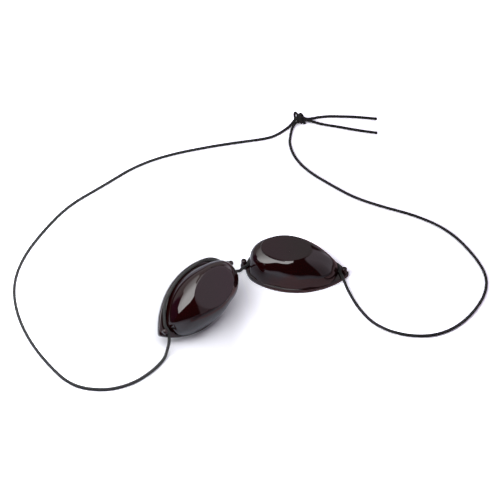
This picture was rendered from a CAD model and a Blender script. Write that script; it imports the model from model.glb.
import math

import bmesh
import bpy
import numpy as np
from mathutils import Matrix, Vector


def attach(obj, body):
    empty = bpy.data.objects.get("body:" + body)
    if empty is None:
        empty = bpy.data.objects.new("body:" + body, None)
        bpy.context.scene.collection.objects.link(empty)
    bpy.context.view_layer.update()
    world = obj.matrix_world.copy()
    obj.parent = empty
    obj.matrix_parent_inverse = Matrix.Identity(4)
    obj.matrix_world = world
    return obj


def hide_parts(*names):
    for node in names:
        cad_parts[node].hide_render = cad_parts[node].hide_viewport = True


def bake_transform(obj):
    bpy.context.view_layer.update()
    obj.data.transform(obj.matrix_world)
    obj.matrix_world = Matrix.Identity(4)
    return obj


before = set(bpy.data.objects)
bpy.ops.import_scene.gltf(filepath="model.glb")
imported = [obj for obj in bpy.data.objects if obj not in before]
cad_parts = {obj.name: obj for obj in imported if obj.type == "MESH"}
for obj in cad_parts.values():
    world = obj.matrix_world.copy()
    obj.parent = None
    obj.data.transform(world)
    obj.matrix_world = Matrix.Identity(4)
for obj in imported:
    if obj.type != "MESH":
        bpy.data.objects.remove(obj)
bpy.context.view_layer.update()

# Sizes and places are written in millimetres. A cup's are in its own frame, which runs along x from its nose end to
# its outer end and has its brow side at +y. The cord's are in the part's frame.
MM = 0.001

# Eye cup: nose reach, outer reach, nose radius, tip radius, brow half-width, cheek half-width
FLANGE = (24.0, 29.7, 12.2, 1.4, 14.54, 15.2)
DOME = (21.9, 24.2, 8.6, 3.4, 12.88, 14.6)
WINDOW = (12.45, 12.45, 7.0, 7.3, 8.74, 8.74)
WINDOW_X, WINDOW_Y = -3.15, 0.5
RIM_THICK, RIM_ROUND = 2.4, 0.3
CUP_TALL, WALL = 17.1, 1.3
# The dome's wall is this part of a quarter wave. It ends at the window's edge.
DOME_TURN = math.radians(76.0)
# Reach of the bend at the window's edge, outside and inside, and of the cove at the dome's foot
SHOULDER, INNER_SHOULDER, COVE = 0.75, 0.4, 0.3
# How many rings make the rim's round edge, the cove, the wall, the lining and the bend
EDGE_RINGS, COVE_RINGS, WALL_RINGS, LINING_RINGS, SHOULDER_RINGS = 7, 5, 34, 24, 7
# How far up its quarter wave the wall's last ring is, then the lining's, and the ring that the bend starts from
WALL_END, LINING_END, BEND_START = 0.96, 0.94, 0.985
# Share of an inset that the dome's outer tip keeps as roundness
TIP_KEPT = 0.4
# The dome's wall stands up steeper towards the nose, and its foot bulges at two corners of the cheek side. A zone is
# where such a change sets in and where it is complete, along the cup or across it.
NOSE_STEEPNESS, STEEP_ZONE = 1.25, (5.0, 18.0)
NOSE_FULLNESS, NOSE_CORNER_ALONG, NOSE_CORNER_ACROSS = 1.75, (6.0, 15.0), (1.5, 6.5)
NOSE_CORNER_MIDDLE = (-11.0, 2.0)
OUTER_FULLNESS, OUTER_CORNER_ALONG, OUTER_CORNER_ACROSS = 2.1, (9.0, 21.0), (0.8, 4.5)
OUTER_CORNER_WAY = (0.35, -0.94)
# Inset and height of the rim's rings: its bottom edge, its side and the mould line round it
RIM_PROFILE = ((0.12, 0.0), (0.03, 0.04), (0.0, 0.14), (0.0, 1.1), (-0.03, 1.15), (-0.03, 1.22), (0.0, 1.27))
# The underside reaches this far from the rim's edge, and its inner edge is this far above it
UNDERSIDE_INSET, HOLLOW_EDGE = 0.12, 0.15
NOSE_PEG_X, OUTER_PEG_X = -25.06, 27.36
PEG_RADIUS, PEG_TALL, PEG_CROWN, PEG_SIDES = 1.4, 3.3, 0.7, 40
# How much wider than the peg, and how far above the flange: the foot and the straight part of a peg
PEG_PROFILE = ((0.0, -0.7), (0.16, -0.02), (0.05, 0.08), (0.0, 0.2), (0.0, 1.4), (0.0, PEG_TALL - PEG_CROWN))
# Radius of the last ring on a peg's crown, and how far it stands over the crown
PEG_TOP = (0.35, 0.06)
LUG_RADIUS, LUG_BLEND = 1.7, 0.8

# Cord. The gap is from its middle to the plastic it is held on, and it lies on the table at its lying height.
CORD_RADIUS = 0.8
CORD_GAP = 0.88
CORD_HEIGHT = RIM_THICK + CORD_GAP
LYING_HEIGHT = 0.82
HOOK_RADIUS = PEG_RADIUS + CORD_GAP
# Where the held cord bows away from the dome along the cup, and over what length
OUTER_BOW_X, OUTER_BOW_LONG = 17.0, 5.0
NOSE_BOW, NOSE_BOW_X, NOSE_BOW_LONG, NOSE_BOW_WAY = 0.95, -14.5, 4.0, (-0.55, 0.84)


def turned(degrees, axis):
    return Matrix.Rotation(math.radians(degrees), 4, axis)


# Where the cups are: the right one lies flat, and the left one is its mirror image and leans on its outer tip
RIGHT_PLACE = Matrix.Translation((19.19, 18.47, 0.0)) @ turned(-6.2, "Z")
LEFT_PLACE = Matrix.Translation((-30.05, -8.17, 10.367)) @ turned(57.0, "Z") @ turned(41.5, "X")
LEFT_PLACE = LEFT_PLACE @ turned(-7.8, "Y") @ Matrix.Scale(-1.0, 4, (1.0, 0.0, 0.0))


def placed(points, place):
    """Points of the cup's frame in the part's frame."""
    m = np.array(place)
    return np.asarray(points, float) @ m[:3, :3].T + m[:3, 3]


# ---------------------------------------------------------------- outlines


def side_arc(nose, outer, nose_radius, outer_radius, width):
    """Centre and radius of a brow-side arc that touches both end circles from inside and bulges to a width."""
    span = outer - outer_radius + nose - nose_radius
    past_nose, past_outer = width - nose_radius, width - outer_radius
    tilt = 1 - past_outer / past_nose
    reach = span**2 - past_outer * (nose_radius - outer_radius)
    along = reach / (span + math.sqrt(span**2 - tilt * reach))
    radius = (along**2 / past_nose + width + nose_radius) / 2
    middle = nose_radius - nose + math.sqrt((radius - nose_radius) ** 2 - (radius - width) ** 2)
    return np.array([middle, width - radius]), radius


def around(centre, radius, start, end, steps, last=False):
    """Points on a circle between two angles, in radians."""
    a = np.linspace(start, end, steps, endpoint=last)
    return np.stack([centre[0] + radius * np.cos(a), centre[1] + radius * np.sin(a)], 1)


def aim(point, centre):
    return math.atan2(point[1] - centre[1], point[0] - centre[0])


# How many points the stretches of an outline get: each half of the nose arc, the lug, each side, the outer tip
NOSE_STEPS, LUG_STEPS, SIDE_STEPS, TIP_STEPS = 20, 28, 56, 28
LUG_FAR = FLANGE[2] + LUG_BLEND
LUG_AWAY = -NOSE_PEG_X - FLANGE[0] + FLANGE[2]
LUG_NEAR = LUG_RADIUS + LUG_BLEND
LUG_SPAN = math.acos((LUG_FAR**2 + LUG_AWAY**2 - LUG_NEAR**2) / (2 * LUG_FAR * LUG_AWAY))
LUG_ROUND = math.acos((LUG_NEAR**2 + LUG_AWAY**2 - LUG_FAR**2) / (2 * LUG_NEAR * LUG_AWAY))


def lug_points():
    """Outline of the nose lug with its two hollow corners, from the brow side to the cheek side."""
    centre = FLANGE[2] - FLANGE[0]
    corner = np.array([centre - LUG_FAR * math.cos(LUG_SPAN), LUG_FAR * math.sin(LUG_SPAN)])
    hollow = around(corner, LUG_BLEND, -LUG_SPAN, LUG_ROUND - math.pi, LUG_STEPS // 4)
    bulge = around((NOSE_PEG_X, 0.0), LUG_RADIUS, LUG_ROUND, math.pi, LUG_STEPS // 4)
    half = np.concatenate([hollow, bulge])
    tip = np.array([[NOSE_PEG_X - LUG_RADIUS, 0.0]])
    return np.concatenate([half, tip, half[:0:-1] * [1, -1]])


def outline(sizes, shift=(0.0, 0.0), lug=False):
    """Closed leaf outline of four arcs, counter-clockwise from the nose arc's brow end."""
    nose, outer, nose_radius, outer_radius, brow_width, cheek_width = sizes
    ends = np.array([nose_radius - nose, 0.0]), np.array([outer - outer_radius, 0.0])
    brow, brow_radius = side_arc(nose, outer, nose_radius, outer_radius, brow_width)
    cheek, cheek_radius = side_arc(nose, outer, nose_radius, outer_radius, cheek_width)
    cheek = cheek * [1, -1]
    nose_up, nose_down = aim(ends[0], brow), aim(ends[0], cheek) + 2 * math.pi
    tip_down, tip_up = aim(ends[1], cheek), aim(ends[1], brow)
    parts = [around(ends[0], nose_radius, nose_up, math.pi - LUG_SPAN, NOSE_STEPS)]
    if lug:
        parts.append(lug_points())
    else:
        parts.append(around(ends[0], nose_radius, math.pi - LUG_SPAN, math.pi + LUG_SPAN, LUG_STEPS))
    parts.append(around(ends[0], nose_radius, math.pi + LUG_SPAN, nose_down, NOSE_STEPS))
    parts.append(around(cheek, cheek_radius, nose_down, tip_down + 2 * math.pi, SIDE_STEPS))
    parts.append(around(ends[1], outer_radius, tip_down, tip_up, TIP_STEPS))
    parts.append(around(brow, brow_radius, tip_up, nose_up, SIDE_STEPS))
    return np.concatenate(parts) + np.array(shift)


def wall_outline(share, inset):
    """Level outline of the dome at a share of the way from its foot to the window. An inset tip stays rounder."""
    sizes = [low + (high - low) * share - inset for low, high in zip(DOME, WINDOW)]
    sizes[3] += inset * TIP_KEPT
    return outline(sizes, (WINDOW_X * share, WINDOW_Y * share))


def lifted(points, height):
    """Points of a level outline at a height."""
    return np.concatenate([points, np.full((len(points), 1), float(height))], 1)


def unit(vectors):
    return vectors / np.linalg.norm(vectors, axis=1)[:, None]


def inward_of(ring):
    """Directions that point into a counter-clockwise outline, one for each of its points."""
    step = np.roll(ring, -1, 0) - np.roll(ring, 1, 0)
    return unit(np.stack([-step[:, 1], step[:, 0]], 1))


# ---------------------------------------------------------------- meshes


def ring_mesh(rings, cap_first=False, cap_last=False):
    """Quads between rings of equal length, with a fan at either end where asked. Returns points and faces."""
    count, points, faces = len(rings[0]), np.concatenate(rings), []
    for k in range(len(rings) - 1):
        for i in range(count):
            j = (i + 1) % count
            faces.append((k * count + i, k * count + j, (k + 1) * count + j, (k + 1) * count + i))
    for wanted, first in ((cap_first, 0), (cap_last, (len(rings) - 1) * count)):
        if wanted:
            middle = len(points)
            points = np.concatenate([points, points[first : first + count].mean(0)[None]])
            for i in range(count):
                a, b = first + i, first + (i + 1) % count
                faces.append((middle, b, a) if first == 0 else (middle, a, b))
    return points, faces


def joined(parts):
    """Several (points, faces) as one."""
    points, faces, start = [], [], 0
    for p, f in parts:
        points.append(p)
        faces += [tuple(i + start for i in face) for face in f]
        start += len(p)
    return np.concatenate(points), faces


def make_object(name, points, faces, finishes, layers=None, flip=False):
    """A mesh object at the origin, from points in millimetres. layers are named values per point."""
    if flip:
        faces = [face[::-1] for face in faces]
    mesh = bpy.data.meshes.new(name)
    mesh.from_pydata([tuple(p) for p in np.asarray(points) * MM], [], faces)
    for key, values in (layers or {}).items():
        mesh.attributes.new(key, "FLOAT", "POINT").data.foreach_set("value", np.asarray(values, np.float32))
    mesh.polygons.foreach_set("use_smooth", [True] * len(mesh.polygons))
    for finish in finishes:
        mesh.materials.append(finish)
    mesh.validate()
    mesh.update()
    thing = bpy.data.objects.new(name, mesh)
    bpy.context.collection.objects.link(thing)
    return thing


# ---------------------------------------------------------------- shader helpers


class Signal:
    """A shader socket that takes part in Python sums."""

    def __init__(self, finish, socket):
        self.finish, self.socket = finish, socket

    def _sum(self, operation, a, b):
        return self.finish.node("ShaderNodeMath", {"operation": operation}, {0: a, 1: b})[0]

    def __add__(self, other):
        return self._sum("ADD", self, other)

    def __radd__(self, other):
        return self._sum("ADD", other, self)

    def __sub__(self, other):
        return self._sum("SUBTRACT", self, other)

    def __rsub__(self, other):
        return self._sum("SUBTRACT", other, self)

    def __mul__(self, other):
        return self._sum("MULTIPLY", self, other)

    def __rmul__(self, other):
        return self._sum("MULTIPLY", other, self)

    def __truediv__(self, other):
        return self._sum("DIVIDE", self, other)

    def __pow__(self, other):
        return self._sum("POWER", self, other)


class Tree:
    """A node tree that is filled from Python."""

    def __init__(self, tree):
        self.tree = tree
        tree.nodes.clear()

    def node(self, kind, settings=None, inputs=None):
        """Adds a node, sets it up, joins its inputs, and gives its outputs as signals."""
        made = self.tree.nodes.new(kind)
        for key, value in (settings or {}).items():
            if key == "kept":
                for name in value:
                    made.capture_items.new("VECTOR" if name == "middle" else "FLOAT", name)
            else:
                setattr(made, key, value)
        for key, value in (inputs or {}).items():
            if isinstance(value, Signal):
                self.tree.links.new(value.socket, made.inputs[key])
            else:
                made.inputs[key].default_value = value
        return [Signal(self, out) for out in made.outputs]

    def named(self, kind, out, settings=None, inputs=None):
        """One output of a new node, by its name."""
        for signal in self.node(kind, settings, inputs):
            if signal.socket.name == out and signal.socket.enabled:
                return signal

    def maths(self, operation, a, b=0.0):
        return self.node("ShaderNodeMath", {"operation": operation}, {0: a, 1: b})[0]


class Finish(Tree):
    """A material or world made of nodes."""

    def __init__(self, owner):
        self.owner = owner
        owner.use_nodes = True
        super().__init__(owner.node_tree)

    def blend(self, share, one, other):
        """Mix of two colours."""
        return self.named("ShaderNodeMix", "Result", {"data_type": "RGBA"}, {"Factor": share, 6: one, 7: other})

    def noise(self, place, scale, detail=2.0, rough=0.5):
        inputs = {"Vector": place, "Scale": scale, "Detail": detail, "Roughness": rough}
        return self.named("ShaderNodeTexNoise", "Fac", None, inputs)

    def smooth(self, value, low, high, to_low=0.0, to_high=1.0):
        inputs = {"Value": value, "From Min": low, "From Max": high, "To Min": to_low, "To Max": to_high}
        return self.named("ShaderNodeMapRange", "Result", {"interpolation_type": "SMOOTHSTEP"}, inputs)

    def layer(self, name):
        """Values per point that the mesh carries under a name."""
        return self.named("ShaderNodeAttribute", "Fac", {"attribute_name": name})

    def bump(self, height, strength, distance, normal=None):
        inputs = {"Strength": strength, "Distance": distance, "Height": height}
        if normal:
            inputs["Normal"] = normal
        return self.named("ShaderNodeBump", "Normal", None, inputs)

    def surface(self, inputs):
        """Ends the material with a principled shader, and gives the material."""
        shader = self.named("ShaderNodeBsdfPrincipled", "BSDF", None, inputs)
        self.node("ShaderNodeOutputMaterial", None, {"Surface": shader})
        return self.owner


def colour(r, g, b):
    return (r, g, b, 1.0)


# ---------------------------------------------------------------- finishes


def tinted_plastic():
    """High-gloss moulded plastic, nearly black with a red-brown tint, fine handling marks and a duller window."""
    finish = Finish(bpy.data.materials.new("tinted_plastic"))
    place = finish.named("ShaderNodeTexCoord", "Object")
    facet, thin = finish.layer("facet"), finish.layer("thin")
    broad = finish.noise(place, scale=60.0)
    smudge = finish.smooth(finish.noise(place, scale=170.0, detail=5.0, rough=0.6), low=0.5, high=0.75)
    dust = finish.smooth(finish.noise(place, scale=2600.0, detail=1.0), low=0.74, high=0.8)
    body = finish.blend(broad, colour(0.0075, 0.0003, 0.0003), colour(0.0095, 0.0005, 0.0008))
    body = finish.blend(thin, body, colour(0.011, 0.0016, 0.0022))
    x = finish.node("ShaderNodeSeparateXYZ", None, {0: place})[0]
    noseward = finish.smooth(finish.maths("ABSOLUTE", x), low=0.026, high=0.01)
    cast = finish.blend(noseward, colour(0.0105, 0.0045, 0.0055), colour(0.015, 0.003, 0.0075))
    body = finish.blend(facet * 0.6, body, cast)
    rough = 0.035 + smudge * 0.05 + facet * 0.02 + dust * 0.2
    wavy = finish.bump(finish.noise(place, scale=45.0, detail=1.0), strength=0.25, distance=0.0002)
    fine = finish.bump(smudge, strength=0.08, distance=0.00002, normal=wavy)
    return finish.surface({"Base Color": body, "Roughness": rough, "IOR": 1.58, "Normal": fine})


def braid_finish():
    """Black braided elastic: yarns darker in the grooves, dull, with a faint sheen."""
    finish = Finish(bpy.data.materials.new("braided_elastic"))
    place = finish.named("ShaderNodeTexCoord", "Object")
    rise, fibre = finish.layer("rise"), finish.layer("fibre")
    worn = finish.noise(place, scale=400.0, detail=3.0)
    thread = finish.maths("SINE", fibre * (2 * math.pi))
    shade = finish.smooth(rise + thread * 0.12, low=-0.1, high=1.0)
    low = finish.blend(worn, colour(0.0025, 0.0025, 0.0027), colour(0.005, 0.005, 0.0055))
    high = finish.blend(worn, colour(0.014, 0.0143, 0.0145), colour(0.027, 0.0275, 0.028))
    tone = finish.blend(shade, low, high)
    grooves = finish.bump(thread, strength=0.5, distance=0.00004)
    rough = 0.62 + worn * 0.2
    return finish.surface({"Base Color": tone, "Roughness": rough, "Sheen Weight": 0.05, "Normal": grooves})


def rubber_finish():
    """Cut ends of the rubber threads in the cord."""
    finish = Finish(bpy.data.materials.new("rubber_core"))
    place = finish.named("ShaderNodeTexCoord", "Object")
    grain = finish.noise(place, scale=3000.0, detail=3.0)
    tone = finish.blend(grain, colour(0.05, 0.048, 0.045), colour(0.12, 0.115, 0.105))
    pitted = finish.bump(grain, strength=0.4, distance=0.00003)
    return finish.surface({"Base Color": tone, "Roughness": 0.8, "Normal": pitted})


PLASTIC = tinted_plastic()
BRAID = braid_finish()
RUBBER = rubber_finish()

# ---------------------------------------------------------------- eye cups


def eased(values, zone):
    """0 before a zone and 1 after it, with a smooth step between."""
    low, high = zone
    t = np.clip((values - low) / (high - low), 0.0, 1.0)
    return (t * t * (3 - 2 * t))[:, None]


def wall_step(angle, inset):
    """Ring of the dome's wall at an angle of its quarter wave, with the steeper nose end and the two corners."""
    share = (1 - math.cos(angle)) / (1 - math.cos(DOME_TURN))
    height = RIM_THICK + (CUP_TALL - inset - RIM_THICK) * math.sin(angle) / math.sin(DOME_TURN)
    foot = wall_outline(0, 0)
    noseward, cheekward = -foot[:, 0], -foot[:, 1]
    steep = eased(noseward, STEEP_ZONE)
    late = share ** (1 + NOSE_STEEPNESS * (1 - share))
    points = wall_outline(share, inset) * (1 - steep) + wall_outline(late, inset) * steep
    below = (1 - share) ** 2
    outwards = unit(foot - np.array(NOSE_CORNER_MIDDLE))
    nose_corner = eased(cheekward, NOSE_CORNER_ACROSS) * eased(noseward, NOSE_CORNER_ALONG)
    points = points + outwards * nose_corner * NOSE_FULLNESS * below
    outer_corner = eased(cheekward, OUTER_CORNER_ACROSS) * eased(-noseward, OUTER_CORNER_ALONG)
    points = points + np.array(OUTER_CORNER_WAY) * outer_corner * OUTER_FULLNESS * below
    return lifted(points, height)


def window_at(inset):
    """Edge and middle of the flat window, outside or at an inset."""
    return wall_step(DOME_TURN, inset), np.array([WINDOW_X, WINDOW_Y, CUP_TALL - inset])


def shoulder(inset, reach):
    """Rounds the edge between the wall and the window: a bend from reach below the edge to reach inside it."""
    edge, middle = window_at(inset)
    start = edge + unit(wall_step(DOME_TURN * BEND_START, inset) - edge) * reach
    end = edge + unit(middle - edge) * reach
    shares = np.linspace(0, 1, SHOULDER_RINGS)
    return [(1 - t) ** 2 * start + 2 * t * (1 - t) * edge + t**2 * end for t in shares]


def window_rings(inset, shares):
    """Rings on the flat window, at shares of the way from its middle to its edge."""
    edge, middle = window_at(inset)
    return [middle + (edge - middle) * share for share in shares]


def cup_shell():
    """The one-piece cup: points and faces, and how much each point belongs to the window and to thin plastic."""
    rings, facet, thin = [], [], []

    def add(ring, window=0.0, edge=0.0):
        rings.append(ring)
        facet.append(window)
        thin.append(edge)

    rim_outline = outline(FLANGE, lug=True)
    into_rim = inward_of(rim_outline)

    def flange(inset):
        return rim_outline + into_rim * inset

    # Underside, from the hollow's edge to the rim
    hollow = wall_outline(0, WALL)
    add(lifted(hollow, HOLLOW_EDGE), 0.0, 0.3)
    for share, edge in ((0.08, 0.4), (0.5, 0.5)):
        add(lifted(hollow * (1 - share) + flange(UNDERSIDE_INSET) * share, 0.0), 0.0, edge)
    # Rim, with its rounded upper edge
    for inset, height in RIM_PROFILE:
        add(lifted(flange(inset), height), 0.0, 0.6)
    for t in np.linspace(0, math.pi / 2, EDGE_RINGS):
        height = RIM_THICK - RIM_ROUND + RIM_ROUND * math.sin(t)
        add(lifted(flange(RIM_ROUND * (1 - math.cos(t))), height), 0.0, 0.5)
    # Top of the flange, and the cove up to the dome's wall
    foot = wall_step(0.0, 0)[:, :2]
    out_of_foot = -inward_of(foot)
    for share in (0.15, 0.5, 0.9):
        add(lifted(flange(RIM_ROUND) * (1 - share) + (foot + out_of_foot * COVE) * share, RIM_THICK), 0.0, 0.3)
    for t in np.linspace(0, math.pi / 2, COVE_RINGS):
        out = COVE * (1 - math.sin(t))
        add(lifted(foot + out_of_foot * out, RIM_THICK + COVE * (1 - math.cos(t))), 0.0, 0.1)
    # Dome, from just above the cove, and window
    first = math.asin(COVE * 1.2 * math.sin(DOME_TURN) / (CUP_TALL - RIM_THICK))
    for angle in np.linspace(first, DOME_TURN * WALL_END, WALL_RINGS):
        add(wall_step(angle, 0))
    for k, ring in enumerate(shoulder(0, SHOULDER)):
        add(ring, k / (SHOULDER_RINGS - 1))
    for ring in window_rings(0, (0.85, 0.6, 0.35, 0.12)):
        add(ring, 1.0)
    # Lining of the dome
    inner = [lifted(hollow, HOLLOW_EDGE), lifted(hollow, RIM_THICK)]
    inner += [wall_step(angle, WALL) for angle in np.linspace(0.04, DOME_TURN * LINING_END, LINING_RINGS)]
    inner += shoulder(WALL, INNER_SHOULDER)
    inner += window_rings(WALL, (0.8, 0.5, 0.15))

    shell = ring_mesh(rings, cap_last=True)
    lining, lining_faces = ring_mesh(inner, cap_last=True)
    lining_faces = [face[::-1] for face in lining_faces]
    count = len(rings[0])
    facet = [value for value in facet for _ in range(count)] + [1.0] + [0.3] * len(lining)
    thin = [value for value in thin for _ in range(count)] + [0.0] + [0.2] * len(lining)
    points, faces = joined([shell, (lining, lining_faces)])
    return points, faces, facet, thin


def peg(x):
    """Round peg on the flange with a small foot and a domed end."""
    profile = [(PEG_RADIUS + wider, RIM_THICK + height) for wider, height in PEG_PROFILE]
    top = RIM_THICK + PEG_TALL
    for t in np.linspace(0.15, math.pi / 2, 8):
        profile.append((PEG_RADIUS - PEG_CROWN + PEG_CROWN * math.cos(t), top - PEG_CROWN + PEG_CROWN * math.sin(t)))
    profile.append((PEG_TOP[0], top + PEG_TOP[1]))
    angles = np.linspace(0, 2 * math.pi, PEG_SIDES, endpoint=False)
    level = np.stack([np.cos(angles), np.sin(angles)], 1)
    rings = [lifted(level * radius + np.array([x, 0.0]), height) for radius, height in profile]
    return ring_mesh(rings, cap_first=True, cap_last=True)


def weld(thing, within=1e-7):
    """Joins the points that lie in the same place."""
    mesh = bmesh.new()
    mesh.from_mesh(thing.data)
    bmesh.ops.remove_doubles(mesh, verts=mesh.verts, dist=within)
    mesh.to_mesh(thing.data)
    mesh.free()
    return thing


SHELL = cup_shell()


def let_down(place):
    """Lowers a cup's place so that its moulding just touches the table."""
    return Matrix.Translation((0.0, 0.0, -placed(SHELL[0], place)[:, 2].min())) @ place


def cup(name, node, body, place):
    points, faces, facet, thin = SHELL
    pegs = [peg(NOSE_PEG_X), peg(OUTER_PEG_X)]
    extra = sum(len(p) for p, _ in pegs)
    points, faces = joined([(points, faces), *pegs])
    points = placed(points, place)
    points[:, 2] -= points[:, 2].min()
    layers = {"facet": facet + [0.0] * extra, "thin": thin + [0.5] * extra}
    mirrored = place.determinant() < 0
    thing = weld(make_object(name, points, faces, [PLASTIC], layers, flip=mirrored))
    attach(thing, body)
    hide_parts(node)


LEFT_PLACE = let_down(LEFT_PLACE)
cup("left_cup_shell", "left_eye_cup", "left_cup", LEFT_PLACE)
cup("right_cup_shell", "right_eye_cup", "right_cup", RIGHT_PLACE)

# ---------------------------------------------------------------- braided cord

# Sizes of the sleeve: its radius, the depth of its grooves, the yarns each way round and the length of one turn of
# a yarn, then the step along it and the sides round it of its mesh
SLEEVE = {
    "Radius": CORD_RADIUS * MM,
    "Relief": 0.085 * MM,
    "Yarns": 8.0,
    "Pitch": 5.6 * MM,
    "Step": 0.15 * MM,
    "Sides": 36,
}
# Height of a yarn where it passes under another (1 where it passes over), how suddenly it changes between the two,
# how square it is across, and the fibres seen on it
UNDER, CROSSING_SHARPNESS, YARN_SQUARENESS, YARN_FIBRES = 0.35, 5.0, 0.8, 3.0


def socket(tree, name, kind, value=None):
    made = tree.interface.new_socket(name, in_out="INPUT", socket_type=kind)
    if value is not None:
        made.default_value = value
    return made


def sleeve_tree(name, twist):
    """Geometry tree that lays a braided sleeve along a curve. twist is how its frame follows the curve."""
    tree = bpy.data.node_groups.new(name, "GeometryNodeTree")
    sleeve = Tree(tree)
    tree.interface.new_socket("Geometry", in_out="INPUT", socket_type="NodeSocketGeometry")
    for key in ("Radius", "Relief", "Yarns", "Pitch", "Step", "Start"):
        socket(tree, key, "NodeSocketFloat", SLEEVE.get(key, 0.0))
    socket(tree, "Sides", "NodeSocketInt", SLEEVE["Sides"])
    socket(tree, "Material", "NodeSocketMaterial")
    tree.interface.new_socket("Geometry", in_out="OUTPUT", socket_type="NodeSocketGeometry")
    sizes = {signal.socket.name: signal for signal in sleeve.node("NodeGroupInput")}

    path = sleeve.node(
        "GeometryNodeResampleCurve", {"mode": "LENGTH"}, {"Curve": sizes["Geometry"], "Length": sizes["Step"]}
    )[0]
    path = sleeve.node("GeometryNodeSetCurveNormal", {"mode": twist}, {"Curve": path})[0]
    ring = sleeve.node(
        "GeometryNodeCurvePrimitiveCircle", None, {"Resolution": sizes["Sides"], "Radius": sizes["Radius"]}
    )[0]
    length = sleeve.named("GeometryNodeSplineParameter", "Length")
    middle = sleeve.named("GeometryNodeInputPosition", "Position")
    path, middle, length = sleeve.node(
        "GeometryNodeCaptureAttribute", {"kept": ["middle", "length"]}, {0: path, 1: middle, 2: length}
    )[:3]
    factor = sleeve.named("GeometryNodeSplineParameter", "Factor")
    ring, factor = sleeve.node("GeometryNodeCaptureAttribute", {"kept": ["turn"]}, {0: ring, 1: factor})[:2]
    tube = sleeve.node(
        "GeometryNodeCurveToMesh", None, {"Curve": path, "Profile Curve": ring, "Fill Caps": True}
    )[0]

    strands = sizes["Yarns"] * math.pi
    along = (length + sizes["Start"]) / sizes["Pitch"] * strands
    turn = factor * strands
    one_way, other_way = turn + along, turn - along
    crossing = sleeve.maths("SINE", one_way) * sleeve.maths("SINE", other_way)
    over = sleeve.maths("TANH", crossing * CROSSING_SHARPNESS) * ((1.0 - UNDER) / 2) + (1.0 + UNDER) / 2
    one = sleeve.maths("ABSOLUTE", sleeve.maths("COSINE", one_way)) ** YARN_SQUARENESS * over
    other = sleeve.maths("ABSOLUTE", sleeve.maths("COSINE", other_way)) ** YARN_SQUARENESS * (1.0 + UNDER - over)
    rise = sleeve.maths("MAXIMUM", one, other)
    first = sleeve.maths("GREATER_THAN", one, other)
    fibre = (first * one_way + (1.0 - first) * other_way) * (YARN_FIBRES / math.pi)

    place = sleeve.named("GeometryNodeInputPosition", "Position")
    outwards = sleeve.named("ShaderNodeVectorMath", "Vector", {"operation": "SUBTRACT"}, {0: place, 1: middle})
    outwards = sleeve.named("ShaderNodeVectorMath", "Vector", {"operation": "NORMALIZE"}, {0: outwards})
    sunk = sleeve.node(
        "ShaderNodeVectorMath", {"operation": "SCALE"}, {0: outwards, 3: (rise - 1.0) * sizes["Relief"]}
    )[0]
    mesh = sleeve.node("GeometryNodeSetPosition", None, {"Geometry": tube, "Offset": sunk})[0]
    for key, value in (("rise", rise), ("fibre", fibre)):
        kept = {"Geometry": mesh, "Name": key, "Value": value}
        mesh = sleeve.node("GeometryNodeStoreNamedAttribute", {"data_type": "FLOAT", "domain": "POINT"}, kept)[0]
    mesh = sleeve.node("GeometryNodeSetShadeSmooth", None, {"Geometry": mesh})[0]
    mesh = sleeve.node("GeometryNodeRealizeInstances", None, {"Geometry": mesh})[0]
    mesh = sleeve.node("GeometryNodeSetMaterial", None, {"Geometry": mesh, "Material": sizes["Material"]})[0]
    sleeve.node("NodeGroupOutput", None, {0: mesh})
    return tree


LAID_SLEEVE = sleeve_tree("laid_sleeve", "Z_UP")
KNOTTED_SLEEVE = sleeve_tree("knotted_sleeve", "MINIMUM_TWIST")


def curve_object(name, kind, controls):
    """A smooth (NURBS) or pointed (POLY) open curve through millimetre places."""
    data = bpy.data.curves.new(name, "CURVE")
    data.dimensions = "3D"
    spline = data.splines.new(kind)
    spline.points.add(len(controls) - 1)
    for point, place in zip(spline.points, controls):
        point.co = (*[float(c) * MM for c in place], 1.0)
    if kind == "NURBS":
        spline.order_u = 3
        spline.use_endpoint_u = True
        spline.resolution_u = 24
    thing = bpy.data.objects.new(name, data)
    bpy.context.collection.objects.link(thing)
    return thing


def as_mesh(thing):
    """The evaluated object as a plain mesh."""
    bpy.context.view_layer.update()
    return bpy.data.meshes.new_from_object(thing.evaluated_get(bpy.context.evaluated_depsgraph_get()))


def line_of(thing):
    """Points along the evaluated curve and its length, in metres."""
    mesh = as_mesh(thing)
    line = np.array([v.co for v in mesh.vertices], float)
    bpy.data.meshes.remove(mesh)
    return line, float(np.linalg.norm(np.diff(line, axis=0), axis=1).sum())


def sleeved(thing, start=0.0, tree=LAID_SLEEVE, radius=CORD_RADIUS):
    """Replaces a curve by the braided sleeve that follows it. start is the length of cord before it, in metres."""
    name = thing.name
    modifier = thing.modifiers.new("sleeve", "NODES")
    modifier.node_group = tree
    wanted = dict(SLEEVE, Start=start, Material=BRAID, Radius=radius * MM)
    for item in tree.interface.items_tree:
        if item.in_out == "INPUT" and item.name in wanted:
            modifier[item.identifier] = wanted[item.name]
    mesh = as_mesh(thing)
    thing.modifiers.remove(modifier)
    bpy.data.objects.remove(thing)
    mesh.name = name
    made = bpy.data.objects.new(name, mesh)
    bpy.context.collection.objects.link(made)
    return made


# Steps of the held line: round a peg, round the dome's nose end, along its brow side and round its outer end
HOOK_STEPS, NOSE_END_STEPS, BROW_STEPS, OUTER_END_STEPS = 12, 40, 80, 20


def bow(places, middle, long):
    """1 at a place along the cup, dying away on both sides of it."""
    return np.exp(-(((places - middle) / long) ** 2))


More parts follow.
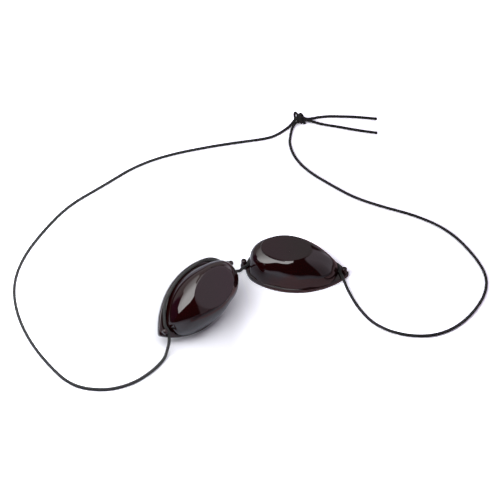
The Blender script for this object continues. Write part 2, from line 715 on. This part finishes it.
def held_line(nose_wrap, outer_wrap, slack):
    """The cord's middle round the brow side of a dome, nose exit to outer exit, in the cup's frame.

    The wraps are how far it goes round each peg, in degrees. slack is how far it bows out near the outer end.
    """
    grown = [size + CORD_GAP for size in DOME[:5]]
    nose, tip = np.array([DOME[2] - DOME[0], 0.0]), np.array([DOME[1] - DOME[3], 0.0])
    side, side_radius = side_arc(*grown)
    nose_up, tip_up = aim(nose, side), aim(tip, side)
    pieces = [
        around((NOSE_PEG_X, 0.0), HOOK_RADIUS, -math.radians(nose_wrap), 0, HOOK_STEPS),
        around(nose, grown[2], math.pi, nose_up, NOSE_END_STEPS),
        around(side, side_radius, nose_up, tip_up, BROW_STEPS),
        around(tip, grown[3], tip_up, 0, OUTER_END_STEPS),
        around((OUTER_PEG_X, 0.0), HOOK_RADIUS, math.pi, math.pi + math.radians(outer_wrap), HOOK_STEPS, True),
    ]
    line = np.concatenate(pieces)
    brow = (line[:, 1] > 0).astype(float)
    line[:, 1] += slack * bow(line[:, 0], OUTER_BOW_X, OUTER_BOW_LONG) * brow
    loose = NOSE_BOW * bow(line[:, 0], NOSE_BOW_X, NOSE_BOW_LONG) * brow
    line += np.array(NOSE_BOW_WAY) * loose[:, None]
    return lifted(line, CORD_HEIGHT)


def on_table(*places):
    return [(x, y, LYING_HEIGHT) for x, y in places]


left_held = placed(held_line(nose_wrap=15.0, outer_wrap=30.0, slack=0.9), LEFT_PLACE)
right_held = placed(held_line(nose_wrap=50.0, outer_wrap=25.0, slack=1.5), RIGHT_PLACE)


def lead(line, at_end, length):
    """The cord's exit from a cup and the end of its straight lead."""
    last, before = (line[-1], line[-2]) if at_end else (line[0], line[1])
    return [tuple(last), tuple(last + (last - before) / np.linalg.norm(last - before) * length)]


# Control places of the cord's smooth curves, in millimetres
LEFT_START = [(-44.1, -37.5, 1.7)]
LEFT_NEAR = on_table((-45.6, -41.7), (-51.5, -49.4), (-61.0, -57.1), (-74.5, -61.0), (-90.5, -58.0))
LEFT_FAR = on_table(
    (-103.0, -44.5), (-114.0, -28.5), (-122.0, -9.5), (-125.0, 9.5), (-121.0, 28.5), (-111.5, 47.5),
    (-99.5, 65.5), (-82.5, 79.5), (-66.5, 94.0), (-49.5, 103.0), (-27.5, 109.5), (-8.5, 113.7),
    (7.0, 116.5), (13.9, 120.3), (18.8, 125.5),
)
RIGHT_START = [(47.9, 3.9, 1.2)]
RIGHT_NEAR = on_table((53.3, -8.5), (61.0, -19.0), (73.5, -25.3), (88.5, -26.5))
RIGHT_MIDDLE = on_table((101.5, -21.0), (112.0, -10.0), (119.3, 3.5), (120.3, 16.5), (112.5, 33.5))
RIGHT_FAR = on_table(
    (102.0, 47.5), (86.5, 57.5), (69.5, 63.7), (53.5, 71.0), (41.5, 80.5), (29.5, 90.5),
    (22.0, 101.5), (19.3, 112.5), (19.9, 118.5), (20.8, 123.4),
)
BRIDGE = [(-9.5, 12.1, 7.0), (-7.44, 15.1, 4.0)]
UPPER_TAIL = on_table((31.5, 132.6), (39.0, 134.7), (48.0, 134.4), (58.0, 134.1), (68.8, 132.5))
LOWER_TAIL = on_table((31.5, 130.7), (38.0, 127.9), (47.0, 126.1), (57.0, 123.3), (68.5, 121.1))


def between(one, other):
    return [tuple((np.array(one) + np.array(other)) / 2)]


left_split = between(LEFT_NEAR[-1], LEFT_FAR[0])
right_split = between(RIGHT_NEAR[-1], RIGHT_MIDDLE[0])
right_far_split = between(RIGHT_MIDDLE[-1], RIGHT_FAR[0])
left_lead = lead(left_held, True, length=4.0) + LEFT_START + LEFT_NEAR + left_split
bridge_run = lead(left_held, False, length=3.4) + BRIDGE + lead(right_held, False, length=2.5)[::-1]
right_lead = lead(right_held, True, length=5.0) + RIGHT_START + RIGHT_NEAR + right_split

# The cord in one go, from the knot round the left loop, over the bridge and round the right loop, then its two tails:
# the piece, the solid it replaces, the body or two bodies it follows, the kind of curve, and its places
CORD_RUN = (
    ("left_far_loop_braid", "left_far_loop_cord", ("strap",), "NURBS", (left_split + LEFT_FAR)[::-1]),
    ("left_near_loop_braid", "left_near_loop_cord", ("strap", "left_turn"), "NURBS", left_lead[::-1]),
    ("left_brow_braid", "left_brow_cord", ("left_cup",), "POLY", left_held[::-1]),
    ("bridge_braid", "bridge_cord", ("strap", "right_side"), "NURBS", bridge_run),
    ("right_brow_braid", "right_brow_cord", ("right_cup",), "POLY", right_held),
    ("right_near_loop_braid", "right_near_loop_cord", ("right_turn", "right_side"), "NURBS", right_lead),
    (
        "right_middle_loop_braid", "right_middle_loop_cord", ("right_side", "strap"), "NURBS",
        right_split + RIGHT_MIDDLE + right_far_split,
    ),
    ("right_far_loop_braid", "right_far_loop_cord", ("strap",), "NURBS", right_far_split + RIGHT_FAR),
    ("upper_tail_braid", "upper_tail_cord", ("strap",), "NURBS", UPPER_TAIL),
    ("lower_tail_braid", "lower_tail_cord", ("strap",), "NURBS", LOWER_TAIL),
)
things, lines, laid = {}, {}, 0.0
for name, node, bodies, kind, places in CORD_RUN:
    curve = curve_object(name, kind, places)
    line, length = line_of(curve)
    # The weave goes on from the stretch before
    thing = sleeved(curve, laid)
    laid += length
    if len(bodies) == 1:
        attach(thing, bodies[0])
    else:
        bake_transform(thing)
    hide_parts(node)
    things[name], lines[name] = thing, line

# Free stretches: which end of the line leaves the part, what it runs to, and its length in metres
FREE_STRETCHES = {
    "left_near_loop_braid": (-1, "object", 0.0763),
    "left_far_loop_braid": (-1, "knot", 0.2659),
    "right_near_loop_braid": (0, "object", 0.0738),
    "right_middle_loop_braid": (0, "object", 0.0775),
    "right_far_loop_braid": (0, "knot", 0.129),
    "upper_tail_braid": (0, "bare", 0.0377),
    "lower_tail_braid": (0, "bare", 0.0383),
}
for name, (end, far_end, length) in FREE_STRETCHES.items():
    line = lines[name]

# The knot: both strands rise into it, one of them winds round them, and a small bight stands out behind
KNOT_LEAN = math.radians(22.0)
UPPER_STRAND = [
    LEFT_FAR[-1], (20.17, 126.96, LYING_HEIGHT), (22.9, 129.7, 3.3), (26.3, 130.8, 3.9), (28.7, 131.8, 1.6),
    (30.1, 132.21, LYING_HEIGHT), UPPER_TAIL[0],
]
LOWER_STRAND = [
    RIGHT_FAR[-1], (21.08, 124.9, LYING_HEIGHT), (23.1, 128.5, 2.0), (26.5, 129.5, 2.1), (28.7, 131.1, 1.4),
    (30.1, 131.3, LYING_HEIGHT), LOWER_TAIL[0],
]
BIGHT = [(25.2, 130.9, 4.6), (23.9, 131.9, 4.7), (22.9, 134.9, 3.9), (22.3, 134.6, 2.0), (22.9, 131.1, 2.0)]
BIGHT_RADIUS = 0.74
# The winding: from where to where it goes, its radius there, its turns, where the first one starts as a share of a
# turn, the height of its lowest point, and the points on one turn
WINDING_ENDS, WINDING_RADII = ((23.9, 130.5), (27.2, 129.9)), (1.5, 3.0)
WINDING_TURNS, WINDING_START, WINDING_FOOT, WINDING_STEPS = 2.3, 0.4, 0.84, 48


def winding():
    """Turns of cord round the strands, leaning back at the top."""
    line = []
    for share in np.linspace(0.0, 1.0, int(WINDING_STEPS * WINDING_TURNS)):
        angle = 2 * math.pi * (WINDING_START + WINDING_TURNS * share)
        radius = WINDING_RADII[0] + (WINDING_RADII[1] - WINDING_RADII[0]) * share
        x, y = [a + (b - a) * share for a, b in zip(*WINDING_ENDS)]
        up, across = radius * math.cos(angle), radius * math.sin(angle)
        height = radius + WINDING_FOOT + up * math.cos(KNOT_LEAN)
        line.append((x - up * math.sin(KNOT_LEAN), y + across, height))
    return line


knot_pieces = [
    sleeved(curve_object("cord_knot_braid", "POLY", winding()), tree=KNOTTED_SLEEVE),
    sleeved(curve_object("upper_strand", "NURBS", UPPER_STRAND)),
    sleeved(curve_object("lower_strand", "NURBS", LOWER_STRAND)),
    sleeved(curve_object("bight", "NURBS", BIGHT), tree=KNOTTED_SLEEVE, radius=BIGHT_RADIUS),
]


def merged(pieces):
    """Several mesh objects as one, under the first one's name."""
    bpy.ops.object.select_all(action="DESELECT")
    for piece in pieces:
        piece.select_set(True)
    bpy.context.view_layer.objects.active = pieces[0]
    bpy.ops.object.join()
    return pieces[0]


knot = merged(knot_pieces)
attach(knot, "strap")
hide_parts("cord_knot")

# Rubber threads in a tail's cut end: their radius, how far the outer ones are from the middle, how far each stands
# out (the middle one first), how deep they start and their bevel
THREAD_RADIUS, THREAD_AWAY, THREAD_DEPTH, THREAD_BEVEL = 0.17, 0.36, 0.6, 0.04
THREAD_REACHES = (0.12, 0.2, 0.08, 0.16, 0.1, 0.22, 0.14)


def cut_end(name, line):
    """Rubber threads of the core that stand a little out of the cut sleeve."""
    heading = line[-1] - line[-2]
    heading = heading / np.linalg.norm(heading)
    side = np.cross(heading, [0.0, 0.0, 1.0])
    up = np.cross(side, heading)
    turns = np.linspace(0, 2 * math.pi, 10, endpoint=False)[:, None]
    circle = np.cos(turns) * side + np.sin(turns) * up
    pieces = []
    for k, reach in enumerate(THREAD_REACHES):
        away = 0.0 if k == 0 else THREAD_AWAY
        angle = k * math.pi / 3
        foot = line[-1] / MM + away * (math.cos(angle) * side + math.sin(angle) * up)
        profile = ((1.0, -THREAD_DEPTH), (1.0, reach - THREAD_BEVEL), (0.75, reach))
        rings = [foot + heading * out + THREAD_RADIUS * narrow * circle for narrow, out in profile]
        pieces.append(ring_mesh(rings, cap_first=True, cap_last=True))
    thing = make_object(name, *joined(pieces), [RUBBER])
    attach(thing, "strap")


cut_end("upper_tail_cut_end", lines["upper_tail_braid"])
cut_end("lower_tail_cut_end", lines["lower_tail_braid"])

# ---------------------------------------------------------------- table, light and camera


TABLE_SIZE, TABLE_Y = 6.0, 1.0
# Middle of the part on the table, where its shadows lie
SHADE_X, SHADE_Y = -0.03, -0.02


def white_table():
    """White table top that keeps soft shadows and shows as pure white round them.

    The plastic mirrors it dimmer and tinted: warm under the right cup, dark at the far left.
    """
    finish = Finish(bpy.data.materials.new("white_table"))
    seen = finish.named("ShaderNodeLightPath", "Is Camera Ray")
    place = finish.named("ShaderNodeTexCoord", "Object")
    x, y = finish.node("ShaderNodeSeparateXYZ", None, {0: place})[:2]
    # What the camera sees: brighter further from the part, and a little brighter on its right half
    away = ((x - SHADE_X) ** 2.0 + (y + (TABLE_Y - SHADE_Y)) ** 2.0) ** 0.5
    bright = 0.8 + finish.smooth(away, 0.03, 0.07, to_high=0.8) + finish.smooth(away, 0.07, 0.25, to_high=4.0)
    bright = bright + finish.smooth(x, -0.013, 0.003, to_high=0.35)
    far_left = 1.0 - finish.smooth(x, -0.24, -0.11)
    gain = seen * bright + (1.0 - seen) * (1.0 - 0.85 * far_left)
    # The warm part of what the plastic mirrors
    close = finish.smooth(y, -0.035 - TABLE_Y, -0.02 - TABLE_Y)
    close = finish.maths("MAXIMUM", close, 1.0 - finish.smooth(x, 0.02, 0.035))
    warm = finish.smooth(x, -0.004, 0.012) * close
    mirrored = finish.blend(warm, colour(0.57, 0.6, 0.68), colour(0.66, 0.45, 0.48))
    paper = finish.blend(seen, mirrored, colour(0.93, 0.94, 1.0))
    paper = finish.node("ShaderNodeVectorMath", {"operation": "SCALE"}, {0: paper, 3: gain})[0]
    paper = finish.named("ShaderNodeBsdfDiffuse", "BSDF", None, {"Color": paper})
    finish.node("ShaderNodeOutputMaterial", None, {"Surface": paper})
    return finish.owner


bpy.ops.mesh.primitive_plane_add(size=TABLE_SIZE, location=(0, TABLE_Y, 0))
table = bpy.context.object
table.name = "table_top"
table.data.materials.append(white_table())


def near(finish, x, y, where, start, end, tall=1.0):
    """1 near a direction and 0 away from it."""
    away = ((x - where[0]) ** 2.0 + ((y - where[1]) / tall) ** 2.0) ** 0.5
    return 1.0 - finish.smooth(away, start, end)


# Levels of the studio round the part, as the plastic mirrors it
DARK_LEVEL, BACK_GAIN, LEFT_LEVEL = 0.025, 0.43, 0.09
RIGHT_LEVEL, RIGHT_FALL, RIGHT_LEAST = 0.78, 0.7, 0.38
GLINT_GAIN, GAP_LOSS = 0.5, 0.9


def studio_world():
    """White to the camera. The plastic mirrors a dark room with a paler back and a pale wall at the right.

    The wall fades towards the front. It has a bright glint and a dark gap at the back, and there is a faint violet
    wall at the far left.
    """
    world = bpy.data.worlds.new("studio")
    bpy.context.scene.world = world
    finish = Finish(world)
    way = finish.named("ShaderNodeTexCoord", "Generated")
    x, y = finish.node("ShaderNodeSeparateXYZ", None, {0: way})[:2]
    forward = finish.maths("MINIMUM", y, 0.0)
    right = finish.smooth(x + forward * 0.35, 0.36, 0.42)
    back = finish.smooth(y, 0.15, 0.5)
    wall = finish.maths("MAXIMUM", RIGHT_LEVEL + forward * RIGHT_FALL, RIGHT_LEAST)
    wall = wall + GLINT_GAIN * near(finish, x, y, (0.74, 0.7), 0.05, 0.16)
    level = (DARK_LEVEL + back * BACK_GAIN) * (1.0 - right) + wall * right
    level = level * (1.0 - GAP_LOSS * near(finish, x, y, (0.44, 0.76), 0.08, 0.19, tall=0.6))
    left = 1.0 - finish.smooth(x, -0.9, -0.84)
    left = left * (1.0 - finish.smooth(y, 0.38, 0.5))
    level = level * (1.0 - left) + LEFT_LEVEL * left
    tint = finish.blend(right, colour(1.0, 0.98, 1.0), colour(1.05, 0.95, 1.08))
    tint = finish.blend(left, tint, colour(0.6, 0.45, 1.0))
    seen = finish.named("ShaderNodeLightPath", "Is Camera Ray")
    tint = finish.blend(seen, tint, colour(1.0, 1.0, 1.0))
    strength = seen + (1.0 - seen) * level
    glow = finish.named("ShaderNodeBackground", "Background", None, {"Color": tint, "Strength": strength})
    finish.node("ShaderNodeOutputWorld", None, {"Surface": glow})


studio_world()

# Corners of the softbox, in metres, seen from above. Its bays are where the highlights have their notches.
SOFTBOX = (
    (-0.25, -0.02), (-0.215, -0.075), (-0.15, -0.082), (-0.1, -0.085), (-0.03, -0.088), (0.01, -0.07),
    (0.035, -0.03), (0.035, 0.004), (-0.028, -0.024), (-0.06, 0.008), (-0.075, 0.07), (-0.12, 0.17),
    (-0.24, 0.2), (-0.25, 0.13), (-0.19, 0.045),
)
SOFTBOX_HEIGHT = 0.12
# Its level at the front, what it loses towards its middle and its back, and what its left end keeps
SOFTBOX_LEVEL, MIDDLE_LOSS, BACK_LOSS, LEFT_SHARE = 5.9, 3.6, 1.3, 0.82


def softbox():
    """Large soft lamp over the left front, fading towards the back."""
    finish = Finish(bpy.data.materials.new("softbox_cloth"))
    place = finish.named("ShaderNodeTexCoord", "Object")
    x, y = finish.node("ShaderNodeSeparateXYZ", None, {0: place})[:2]
    level = SOFTBOX_LEVEL - finish.smooth(y, -0.04, 0.045) * MIDDLE_LOSS - finish.smooth(y, 0.03, 0.18) * BACK_LOSS
    level = level * (LEFT_SHARE + (1.0 - LEFT_SHARE) * finish.smooth(x, -0.2, -0.11))
    glow = finish.named("ShaderNodeEmission", "Emission", None, {"Color": colour(1, 1, 1), "Strength": level})
    finish.node("ShaderNodeOutputMaterial", None, {"Surface": glow})
    mesh = bpy.data.meshes.new("softbox")
    mesh.from_pydata([(x, y, SOFTBOX_HEIGHT) for x, y in SOFTBOX], [], [tuple(range(len(SOFTBOX)))[::-1]])
    mesh.materials.append(finish.owner)
    lamp = bpy.data.objects.new("softbox", mesh)
    bpy.context.collection.objects.link(lamp)
    lamp.visible_camera = False


softbox()

# The camera that took the photo: its place, and the point of the table in the middle of its picture
CAMERA_PLACE = Vector((-0.002518, -0.6183, 0.7134))
CAMERA_TARGET = Vector((-0.002518, 0.033353, 0.0))
camera_data = bpy.data.cameras.new("photo_camera")
camera_data.lens = 132.2
camera_data.sensor_width = 36.0
camera_data.clip_end = 20.0
camera = bpy.data.objects.new("photo_camera", camera_data)
camera.location = CAMERA_PLACE
camera.rotation_euler = (CAMERA_TARGET - CAMERA_PLACE).to_track_quat("-Z", "Y").to_euler()
bpy.context.collection.objects.link(camera)
bpy.context.scene.camera = camera
bpy.context.scene.view_settings.view_transform = "Standard"
